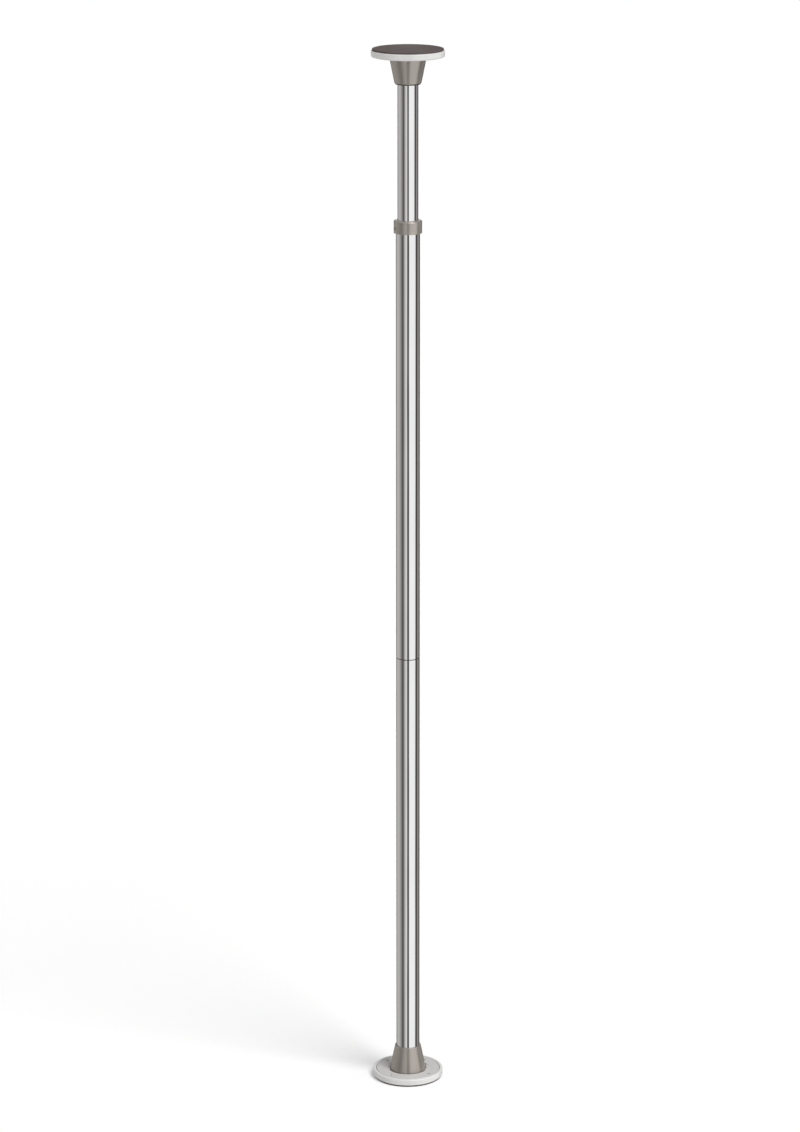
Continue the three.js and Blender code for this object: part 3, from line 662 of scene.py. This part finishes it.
silver_grey = (0.42, 0.388, 0.352, 1)
silver_marks = (marks, {"Clean": 0.28, "Marked": 0.38, "Scale": 90})
silver_grain = (grain, {"Scale": 2400}, 0.3, 0.0001)
silver_metal = 0.6
silver_plastic = surface(
    "silver-grey plastic",
    (wear, {"Radius": 0.0419, "Width": 0.0012, "Colour": silver_grey, "Worn": (0.56, 0.53, 0.49, 1)}),
    silver_marks,
    silver_grain,
    Metallic=silver_metal,
)
feet = (("foot", upright), ("head", hung))
cone_low, cone_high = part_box("foot_cone")
foot_base = cone_low.z
foot_radius = cone_high.x
neck_radius = foot_radius - 0.0024
neck_height = foot_base + 0.005
bead_top = foot_base + 0.0044
bead_under_round = 0.0018
bead_round = 0.0019
mouth_round = 0.0009
pad_pocket = foot_radius - 0.0022
plate_pocket = foot_radius - 0.0052
plate_bottom = foot_base + 0.0018
plate_seat = foot_base + 0.0061
sleeve_bore = 0.0254
sleeve_radius = sleeve_bore + 0.003
mouth_radius = sleeve_bore + 0.0021
cone_wall = 0.003
# a full edge, the roundest of the small ones
full = 0.0006
cone_run = cone_high.z - full - neck_height
cone_taper = mouth_radius - neck_radius
cavity_radius = neck_radius + (plate_seat - neck_height) * cone_taper / cone_run - cone_wall
cavity_top = neck_height + (sleeve_radius + cone_wall - neck_radius) * cone_run / cone_taper
rib_inner = sleeve_bore + 0.0015
rib_bite = 0.0015
rib_width = 0.0024
rib_count = 6
plate_screw_radius = 0.0015
plate_screw_circle = 0.03165
plate_screw_angle = 30
plate_screw_count = 3
plate_screw_tip = plate_seat + (cavity_top - plate_seat) * 0.25
plate_boss_radius = plate_screw_radius + 0.0025
plate_boss_top = plate_screw_tip + 0.0015
notch_angle = tab_angle + 90
notch_sweep = tab_sweep + 10
for foot, place in feet:
    shape = turned([
        (pad_pocket, foot_base, fine),
        (foot_radius, foot_base, bead_under_round),
        (foot_radius, bead_top, bead_round),
        (neck_radius, neck_height - fine, mouth_round),
        (mouth_radius, cone_high.z, mouth_round),
        (sleeve_bore, cone_high.z, soft),
        (sleeve_bore, plate_seat),
        (sleeve_radius, plate_seat),
        (sleeve_radius, cavity_top, full),
        (cavity_radius, plate_seat),
        (plate_pocket, plate_seat),
        (plate_pocket, plate_bottom),
        (pad_pocket, plate_bottom),
    ], 144, 8)
    rib = bmesh.new()
    corners = (
        (rib_inner, plate_seat), (cavity_radius + rib_bite, plate_seat),
        (sleeve_radius + rib_bite, cavity_top), (rib_inner, cavity_top),
    )
    near_side = [rib.verts.new((radius, -rib_width / 2, height)) for radius, height in corners]
    web = bmesh.ops.extrude_face_region(rib, geom=[rib.faces.new(near_side)])["geom"]
    far_side = [part for part in web if isinstance(part, bmesh.types.BMVert)]
    bmesh.ops.translate(rib, verts=far_side, vec=(0, rib_width, 0))
    shape = combined(shape, copies_round(closed(rib), rib_count), "UNION")
    boss = moved(rod(plate_boss_radius, plate_seat - skim, plate_boss_top), plate_screw_circle)
    boss = copies_round(boss, plate_screw_count, plate_screw_angle)
    boss = combined(boss, rod(foot_radius, plate_seat, cone_high.z), "INTERSECT")
    shape = combined(shape, boss, "UNION")
    pilot = rod(plate_screw_radius + clearance, 0, plate_screw_tip + clearance)
    pilot = copies_round(moved(pilot, plate_screw_circle), plate_screw_count, plate_screw_angle)
    shape = combined(shape, pilot)
    notch = sector(neck_radius, foot_radius + overrun, foot_base - overrun, neck_height, 0, notch_sweep)
    shape = combined(shape, copies_round(notch, tab_count, notch_angle))
    finished(foot + "_cone", shape, silver_plastic, foot, place)

# Foot pads: discs of the same brown-grey rubber, let into the base of each foot.
# They stand a little proud, so that the foot bears on rubber in the cap's recess.
foot_pad_low, foot_pad_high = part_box("foot_pad")
foot_pad_edge = 0.0008
for foot, place in feet:
    shape = turned([
        (0, foot_pad_low.z),
        (foot_pad_high.x, foot_pad_low.z, foot_pad_edge),
        (foot_pad_high.x, foot_pad_high.z, burr),
        (0, foot_pad_high.z),
    ])
    finished(foot + "_pad", shape, brown_rubber, foot, place)

# Base plates: turned steel discs that close each foot behind its pad. One holds the jack screw by
# its sunk head, and the other the swivel's spindle. Three screws fix each to the foot's bosses.
jack_radius = 0.01
jack_head = 0.015
spindle_radius = 0.006
spindle_head = 0.0107
sunk_head_top = foot_base + 0.0036
head_seat = sunk_head_top + clearance
plate_screw_head = plate_screw_radius + 0.0013
base_low, base_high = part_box("foot_base_plate")
held = {"foot": (jack_radius, jack_head), "head": (spindle_radius, spindle_head)}
for foot, place in feet:
    shaft, head = held[foot]
    shape = turned([
        (head + clearance, base_low.z),
        (base_high.x, base_low.z, fine),
        (base_high.x, base_high.z, soft),
        (shaft + clearance, base_high.z, fine),
        (shaft + clearance, head_seat),
        (head + clearance, head_seat),
    ], 96, 4)
    sink = turned([
        (0, 0),
        (plate_screw_head + clearance, 0),
        (plate_screw_head + clearance, head_seat),
        (plate_screw_radius + clearance, head_seat),
        (plate_screw_radius + clearance, base_high.z + overrun),
        (0, base_high.z + overrun),
    ], 32)
    sink = copies_round(moved(sink, plate_screw_circle), plate_screw_count, plate_screw_angle)
    finished(foot + "_base_plate", combined(shape, sink), zinc_steel, foot, place)

# Plate screws: the same kind of small flat-headed screw, three to a foot.
# They pass up through the base plate into the foot's bosses.
for foot, place in feet:
    for index in range(plate_screw_count):
        shape = sunk_screw(plate_screw_radius, plate_screw_head, plate_bottom, sunk_head_top,
                           plate_screw_tip)
        turn = Matrix.Rotation(math.radians(plate_screw_angle + 360 / plate_screw_count * index), 4, "Z")
        finished(f"{foot}_plate_screw_{index + 1}", moved(shape, plate_screw_circle), zinc_steel,
                 foot, place @ turn)

# Jack screw: a steel screw with a coarse thread and a flat head, clamped upright on the lower
# foot's plate. Turning the pole climbs it on this screw, which tightens it under the ceiling.
jack_low, jack_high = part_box("jack_screw")
jack_pitch = 0.005
jack_depth = 0.0016
jack_flat = 0.2
jack_root = jack_radius - jack_depth
jack_thread_start = 0.0271
thread_lap = 0.001
jack_point = jack_high.z - 0.003
jack_point_round = 0.0008
shape = turned([
    (0, jack_low.z),
    (jack_head, jack_low.z, eased),
    (jack_head, sunk_head_top, eased),
    (jack_radius, sunk_head_top, eased),
    (jack_radius, jack_thread_start, soft),
    (0, jack_thread_start),
], 64, 4)
thread = helix(jack_root, jack_radius, jack_pitch, jack_thread_start - thread_lap,
               jack_high.z - jack_depth, 64, jack_flat)
shape = combined(shape, thread, "UNION")
point = turned([
    (0, jack_point),
    (jack_root, jack_point),
    (jack_root, jack_high.z, jack_point_round),
    (0, jack_high.z),
], 64, 4)
finished("jack_screw", combined(shape, point, "UNION"), zinc_steel, "foot")


# Jack washer and lock nut: plated steel, run down the jack screw to clamp it on the plate.
# The nut's corners are chamfered at both ends, as they are when it is turned from bar.
def washer(node, body, bore, radius, material, steps=96):
    """A flat ring as high as its node, with its edges eased."""
    low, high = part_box(node)
    shape = turned([
        (bore, low.z, burr), (radius, low.z, fine), (radius, high.z, fine), (bore, high.z, burr),
    ], steps, 3)
    finished(node, shape, material, body)


def hexagon(across_flats, bottom, top):
    """An upright six-sided bar."""
    shape = bmesh.new()
    corner = across_flats / math.sqrt(3)
    bmesh.ops.create_cone(shape, cap_ends=True, segments=6, radius1=corner, radius2=corner,
                          depth=top - bottom)
    return moved(shape, z=(bottom + top) / 2)


def nut(node, body, bore, across_flats):
    """A hexagon nut as high as its node, made on the floor and lifted to its place."""
    low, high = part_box(node)
    height = high.z - low.z
    corner = across_flats / math.sqrt(3)
    outer = corner + skim
    chamfer = (corner - across_flats / 2) * 0.7
    shoulder = corner - chamfer * 1.8
    envelope = turned([
        (bore, 0, full),
        (shoulder, 0),
        (outer, chamfer),
        (outer, height - chamfer),
        (shoulder, height),
        (bore, height, full),
    ], 96, 3)
    shape = combined(hexagon(across_flats, 0, height), envelope, "INTERSECT")
    finished(node, moved(shape, z=low.z), zinc_steel, body)


jack_hole = jack_radius + clearance
jack_nut_flats = 0.03
washer_width = 0.006
washer("jack_washer", "foot", jack_hole, jack_radius + washer_width, zinc_steel)
nut("jack_lock_nut", "foot", jack_hole, jack_nut_flats)

# Glide ring: black nylon under the lower tube's end, kept by a lip inside it. It rides up with the
# tube inside the foot, and lets the tube turn on it.
nylon = surface(
    "black nylon",
    (drift, {"Colour": (0.026, 0.026, 0.028, 1), "Spread": 0.12, "Scale": 90}),
    (marks, {"Clean": 0.42, "Marked": 0.58, "Scale": 140}),
    (grain, {"Scale": 2400}, 0.3, 0.0001),
)
tube_wall = 0.0015
tube_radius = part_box("lower_tube")[1].x
tube_bore = tube_radius - tube_wall
plug_radius = tube_bore - clearance
glide_low, glide_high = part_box("foot_glide_ring")
glide_bore = plug_radius - 0.002
glide_step = glide_low.z + 0.0025
shape = turned([
    (glide_bore, glide_low.z, fine),
    (tube_radius, glide_low.z, eased),
    (tube_radius, glide_step, fine),
    (plug_radius, glide_step),
    (plug_radius, glide_high.z, soft),
    (glide_bore, glide_high.z, fine),
], 128, 4)
finished("foot_glide_ring", shape, nylon, "glide_ring")

# Lower tube: drawn steel with a polished chrome plate, its ends faced and eased. Two holes near
# its foot take the pins that hold the jack plug.
drawn, given, out = new_effect("drawn lines", (("Scale", "Float", 500),), ("Height", "Float"))
lines = noise_at(drawn, given["Scale"], 3, (1, 1, 0.004))
waves = noise_at(drawn, 55, 2, (1, 1, 0.06))
drawn.links.new(calculated(drawn, "MULTIPLY_ADD", lines, 0.12, waves), out["Height"])
chrome = surface(
    "chrome plate",
    (drift, {"Colour": (0.86, 0.862, 0.868, 1), "Spread": 0.012, "Scale": 14}),
    (marks, {"Clean": 0.035, "Marked": 0.075, "Scale": 24}),
    (drawn, {"Scale": 420}, 0.6, 0.0003),
    Metallic=1,
)
pin_radius = 0.002


def tube(bottom, top, radius):
    """A round tube with eased ends."""
    bore = radius - tube_wall
    return turned([
        (bore, bottom, burr), (radius, bottom, soft), (radius, top, soft), (bore, top, burr),
    ], 160, 4)


def laid(shape, height, side=1):
    """Lays an upright shape down at a height, so that its top points out along +X, or -X."""
    turn = Matrix.Rotation(side * math.pi / 2, 4, "Y")
    bmesh.ops.transform(shape, matrix=Matrix.Translation((0, 0, height)) @ turn, verts=shape.verts[:])
    return shape


def crossed(shape, radius, height, inner=0, reach=0.04):
    """Drills a shape from both sides at a height."""
    for side in (1, -1):
        shape = combined(shape, laid(rod(radius, inner, reach, 48), height, side))
    return shape


tube_low, tube_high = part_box("lower_tube")
jack_pin_low, jack_pin_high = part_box("jack_plug_pin_1")
jack_pin_height = (jack_pin_low.z + jack_pin_high.z) / 2
pin_hole = pin_radius + clearance
shape = crossed(tube(tube_low.z, tube_high.z, tube_radius), pin_hole, jack_pin_height)
finished("lower_tube", shape, chrome, "lower_pole")

# Jack plug: turned aluminium with a coarse thread through it, fixed in the lower tube's foot.
# It is the nut that climbs the jack screw.
turning, given, out = new_effect("turning lines", (("Spacing", "Float", 0.0003),), ("Height", "Float"))
parts = add_node(turning, "SeparateXYZ", {0: add_node(turning, "TexCoord").outputs["Object"]}).outputs
level_part = add_node(turning, "CombineXYZ", {0: parts["X"], 1: parts["Y"]}).outputs[0]
reach = add_node(turning, "VectorMath", {0: level_part}, operation="LENGTH").outputs["Value"]
along = calculated(turning, "ADD", reach, parts["Z"])
passes = calculated(turning, "DIVIDE", along, given["Spacing"])
angle = calculated(turning, "MULTIPLY", passes, math.tau)
cuts = calculated(turning, "SINE", angle)
tears = noise_at(turning, 700, 3, (0.1, 0.1, 1))
turning.links.new(calculated(turning, "MULTIPLY_ADD", cuts, 0.4, tears), out["Height"])
aluminium = surface(
    "turned aluminium",
    (drift, {"Colour": (0.67, 0.675, 0.685, 1), "Spread": 0.05, "Scale": 120}),
    (marks, {"Clean": 0.22, "Marked": 0.36, "Scale": 150}),
    (turning, {"Spacing": 0.00035}, 0.25, 0.00004),
    Metallic=1,
)
jack_plug_low, jack_plug_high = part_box("jack_plug")
jack_bore = jack_radius + 0.0004
pin_stop = 0.0175
shape = rod(plug_radius, jack_plug_low.z, jack_plug_high.z, 128, soft)
thread = helix(jack_bore, jack_bore + jack_depth, jack_pitch, jack_plug_low.z - overrun,
               jack_plug_high.z + overrun, 64, jack_flat)
shape = crossed(combined(shape, thread), pin_hole, jack_pin_height, pin_stop)
finished("jack_plug", shape, aluminium, "lower_pole")


# Plug pins: short plated steel pins, two to a plug, pressed in from both sides of a tube
# and dressed flush with it.
def plug_pins(plug, body, inner, outer, height):
    """Makes the two pins of a plug."""
    for index, side in enumerate((1, -1)):
        pin = laid(rod(pin_radius, inner, outer, 48, fine), height, side)
        finished(f"{plug}_pin_{index + 1}", pin, zinc_steel, body)


plug_pins("jack_plug", "lower_pole", jack_pin_low.x, jack_pin_high.x, jack_pin_height)

# Joiner stud: turned aluminium fixed in the top of the lower tube. Its threaded end stands out
# of the tube, and the middle tube screws down on it.
stud_low, stud_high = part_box("joiner_stud")
stud_pitch = 0.006
stud_depth = 0.0018
stud_flat = 0.22
seam_bore = plug_radius - 0.003
socket_bore = seam_bore - stud_depth
stud_crest = socket_bore - 0.0004
stud_root = stud_crest - stud_depth
stud_bore = stud_root - 0.0042
stud_taper = 0.004
shape = turned([
    (0, stud_low.z),
    (plug_radius, stud_low.z, full),
    (plug_radius, tube_high.z, fine),
    (0, tube_high.z),
], 128, 4)
thread = helix(stud_root, stud_crest, stud_pitch, tube_high.z - thread_lap, stud_high.z, 96, stud_flat)
envelope = turned([
    (0, tube_high.z - overrun),
    (plug_radius, tube_high.z - overrun),
    (plug_radius, stud_high.z - stud_taper),
    (stud_root - eased, stud_high.z),
    (0, stud_high.z),
], 96)
shape = combined(shape, combined(thread, envelope, "INTERSECT"), "UNION")
shape = combined(shape, rod(stud_bore, stud_low.z - overrun, stud_high.z + overrun, 96))
finished("joiner_stud", shape, aluminium, "lower_pole")

# Seam washer: a thin black nylon ring between the lower and middle tubes, which keeps chrome
# from chrome and shows as a fine dark line round the pole.
washer("seam_washer", "seam_ring", seam_bore, tube_radius - soft, nylon, 160)

# Middle tube: chromed like the lower one. Two holes near its top let the clamp's
# screws through to the extension.
middle_low, middle_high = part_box("middle_tube")
clamp_low, clamp_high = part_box("clamp_screw_right")
clamp_height = (clamp_low.z + clamp_high.z) / 2
clamp_radius = 0.003
clamp_hole = clamp_radius + clearance
shape = crossed(tube(middle_low.z, middle_high.z, tube_radius), clamp_hole, clamp_height)
finished("middle_tube", shape, chrome, "middle_pole")

# Joiner socket: turned aluminium fixed in the foot of the middle tube,
# threaded inside to take the joiner stud.
socket_low, socket_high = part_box("joiner_socket")
shape = rod(plug_radius, socket_low.z, socket_high.z, 128, soft)
thread = helix(socket_bore, socket_bore + stud_depth, stud_pitch, socket_low.z - overrun,
               socket_high.z + overrun, 96, stud_flat)
finished("joiner_socket", combined(shape, thread), aluminium, "middle_pole")

# Mouth bush: black nylon pushed into the top of the middle tube up to its lip.
# It centres the extension, and keeps it from scratching as it slides.
extension_low, extension_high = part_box("extension_tube")
extension_radius = extension_high.x
bush_bore = extension_radius + 0.0004
bush_low, bush_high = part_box("mouth_bush")
lip_under = middle_high.z + clearance
shape = turned([
    (bush_bore, bush_low.z, fine),
    (plug_radius, bush_low.z, eased),
    (plug_radius, lip_under),
    (tube_radius, lip_under, fine),
    (tube_radius, bush_high.z, fine),
    (bush_bore, bush_high.z, eased),
], 128, 4)
shape = crossed(shape, clamp_hole, clamp_height)
finished("mouth_bush", shape, nylon, "middle_pole")

# Clamp collar: silver-grey like the feet, moulded to sit over the tube's top and the bush,
# with a bevelled shoulder. Two set screws pass through it.
collar_silver = surface(
    "collar silver-grey plastic",
    (drift, {"Colour": silver_grey, "Spread": 0.03, "Scale": 70}),
    silver_marks,
    silver_grain,
    Metallic=silver_metal,
)
collar_low, collar_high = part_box("clamp_collar")
collar_radius = collar_high.x
collar_shoulder = collar_radius - 0.0024
collar_foot_round = 0.0009
collar_round = 0.0008
collar_bore = tube_radius + clearance
collar_seat = bush_high.z + clearance
shape = turned([
    (collar_bore, collar_low.z, fine),
    (collar_radius, collar_low.z, collar_foot_round),
    (collar_radius, collar_seat, collar_round),
    (collar_shoulder, collar_high.z, collar_round),
    (bush_bore, collar_high.z, soft),
    (bush_bore, collar_seat),
    (collar_bore, collar_seat),
], 144, 5)
shape = crossed(shape, clamp_hole, clamp_height)
finished("clamp_collar", shape, collar_silver, "middle_pole")

# Clamp pads: small turned brass discs between the set screws and the extension,
# so that the screws grip it without marking its chrome.
brass = surface(
    "turned brass",
    (drift, {"Colour": (0.6, 0.42, 0.18, 1), "Spread": 0.07, "Scale": 160}),
    (marks, {"Clean": 0.26, "Marked": 0.42, "Scale": 160}),
    (turning, {"Spacing": 0.0004}, 0.25, 0.00004),
    Metallic=1,
)
clamp_pad_low, clamp_pad_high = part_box("clamp_pad_right")
clamps = (("right", 1), ("left", -1))
for name, side in clamps:
    pad = rod(clamp_radius - clearance, clamp_pad_low.x, clamp_pad_high.x, 48, burr)
    finished("clamp_pad_" + name, laid(pad, clamp_height, side), brass, name + "_clamp_pad")

# Clamp screws: plated set screws with a hexagon socket, threaded through the collar and
# flush with it when tight. Each draws its brass pad back as it is turned out.
clamp_pitch = 0.001
clamp_root = clamp_radius * 0.84
clamp_tip = clamp_radius * 0.8
clamp_mouth = clamp_radius * 0.82
fine_thread_flat = 0.15
socket_flats = 0.003
socket_depth = 0.003
for name, side in clamps:
    screw = helix(clamp_root, clamp_radius, clamp_pitch, clamp_low.x, clamp_high.x,
                  48, fine_thread_flat)
    envelope = turned([
        (0, clamp_low.x),
        (clamp_tip, clamp_low.x),
        (clamp_radius, clamp_low.x + full),
        (clamp_radius, clamp_high.x - soft),
        (clamp_mouth, clamp_high.x),
        (0, clamp_high.x),
    ], 48)
    screw = combined(screw, envelope, "INTERSECT")
    screw = combined(screw, hexagon(socket_flats, clamp_high.x - socket_depth, clamp_high.x + overrun))
    finished("clamp_screw_" + name, laid(screw, clamp_height, side), zinc_steel,
             name + "_clamp_screw")

# Extension tube: a slimmer chromed tube that telescopes out of the middle one.
# Two holes near its top take the pins of the swivel's plug.
swivel_pin_low, swivel_pin_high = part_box("swivel_plug_pin_1")
swivel_pin_height = (swivel_pin_low.z + swivel_pin_high.z) / 2
shape = tube(extension_low.z, extension_high.z, extension_radius)
shape = crossed(shape, pin_hole, swivel_pin_height)
finished("extension_tube", shape, chrome, "extension")

# Extension guide: a black nylon cup round the extension's foot end,
# which runs in the bore of the middle tube.
guide_low, guide_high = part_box("extension_guide")
extension_bore = extension_radius - tube_wall
guide_inner = extension_radius + clearance
guide_seat = extension_low.z - clearance
shape = turned([
    (extension_bore, guide_low.z, fine),
    (plug_radius, guide_low.z, full),
    (plug_radius, guide_high.z, eased),
    (guide_inner, guide_high.z, fine),
    (guide_inner, guide_seat),
    (extension_bore, guide_seat),
], 128, 4)
finished("extension_guide", shape, nylon, "extension")

# Swivel plug and its pins: turned aluminium fixed in the top of the extension.
# The spindle turns in its bore.
swivel_low, swivel_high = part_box("swivel_plug")
swivel_bore = spindle_radius + 0.0004
swivel_radius = extension_bore - clearance
shape = turned([
    (swivel_bore, swivel_low.z, soft),
    (swivel_radius, swivel_low.z, soft),
    (swivel_radius, swivel_high.z, soft),
    (swivel_bore, swivel_high.z, soft),
], 96, 4)
shape = crossed(shape, pin_hole, swivel_pin_height, swivel_pin_low.x - clearance)
finished("swivel_plug", shape, aluminium, "extension")
plug_pins("swivel_plug", "extension", swivel_pin_low.x, swivel_pin_high.x, swivel_pin_height)

# Swivel spindle: plated steel, its head sunk in the upper foot's plate. It hangs down through the
# plug, and its threaded tail takes the lock nut.
spindle_low, spindle_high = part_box("swivel_spindle")
tail_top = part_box("swivel_lock_nut")[1].z - spindle_low.z
head_top = spindle_high.z - spindle_low.z
head_under = head_top - 0.0018
shape = turned([
    (0, tail_top),
    (spindle_radius, tail_top, fine),
    (spindle_radius, head_under),
    (spindle_head, head_under, fine),
    (spindle_head, head_top, fine),
    (0, head_top),
], 64, 3)
tail_root = spindle_radius * 0.86
tail_crest = spindle_radius - 0.00005
tail_pitch = 0.0015
tail_spare = 0.0006
tail_taper = 0.001
tail_point = tail_crest - 0.0009
tail_outer = spindle_radius + 0.0002
tail = helix(tail_root, tail_crest, tail_pitch, -tail_spare, tail_top + tail_spare, 48, fine_thread_flat)
envelope = turned([
    (0, 0),
    (tail_point, 0),
    (tail_outer, tail_taper),
    (tail_outer, tail_top + overrun),
    (0, tail_top + overrun),
], 64)
shape = combined(shape, combined(tail, envelope, "INTERSECT"), "UNION")
finished("swivel_spindle", moved(shape, z=spindle_low.z), zinc_steel, "head")

# Swivel washers and nut: a brass thrust washer under the foot's plate, and a plated washer and a
# lock nut below the plug, which keep the spindle in it.
spindle_hole = spindle_radius + clearance
spindle_nut_flats = 0.019
washer("swivel_thrust_washer", "head", spindle_hole, extension_radius, brass)
washer("swivel_washer", "head", spindle_hole, spindle_radius + washer_width, zinc_steel)
nut("swivel_lock_nut", "head", spindle_hole, spindle_nut_flats)

# Reducer bush: black nylon in the mouth of the upper foot, where the slimmer extension goes in.
# Its bevelled lip closes the step between the two.
reducer_low, reducer_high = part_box("head_reducer_bush")
reducer_radius = sleeve_bore - clearance
lip_radius = mouth_radius - 0.0006
lip_seat = reducer_low.z + 0.002
shape = turned([
    (bush_bore, reducer_low.z, eased),
    (reducer_radius, reducer_low.z, eased),
    (lip_radius, lip_seat, burr),
    (reducer_radius, lip_seat),
    (reducer_radius, reducer_high.z, eased),
    (bush_bore, reducer_high.z, fine),
], 128, 4)
finished("head_reducer_bush", shape, nylon, "head")
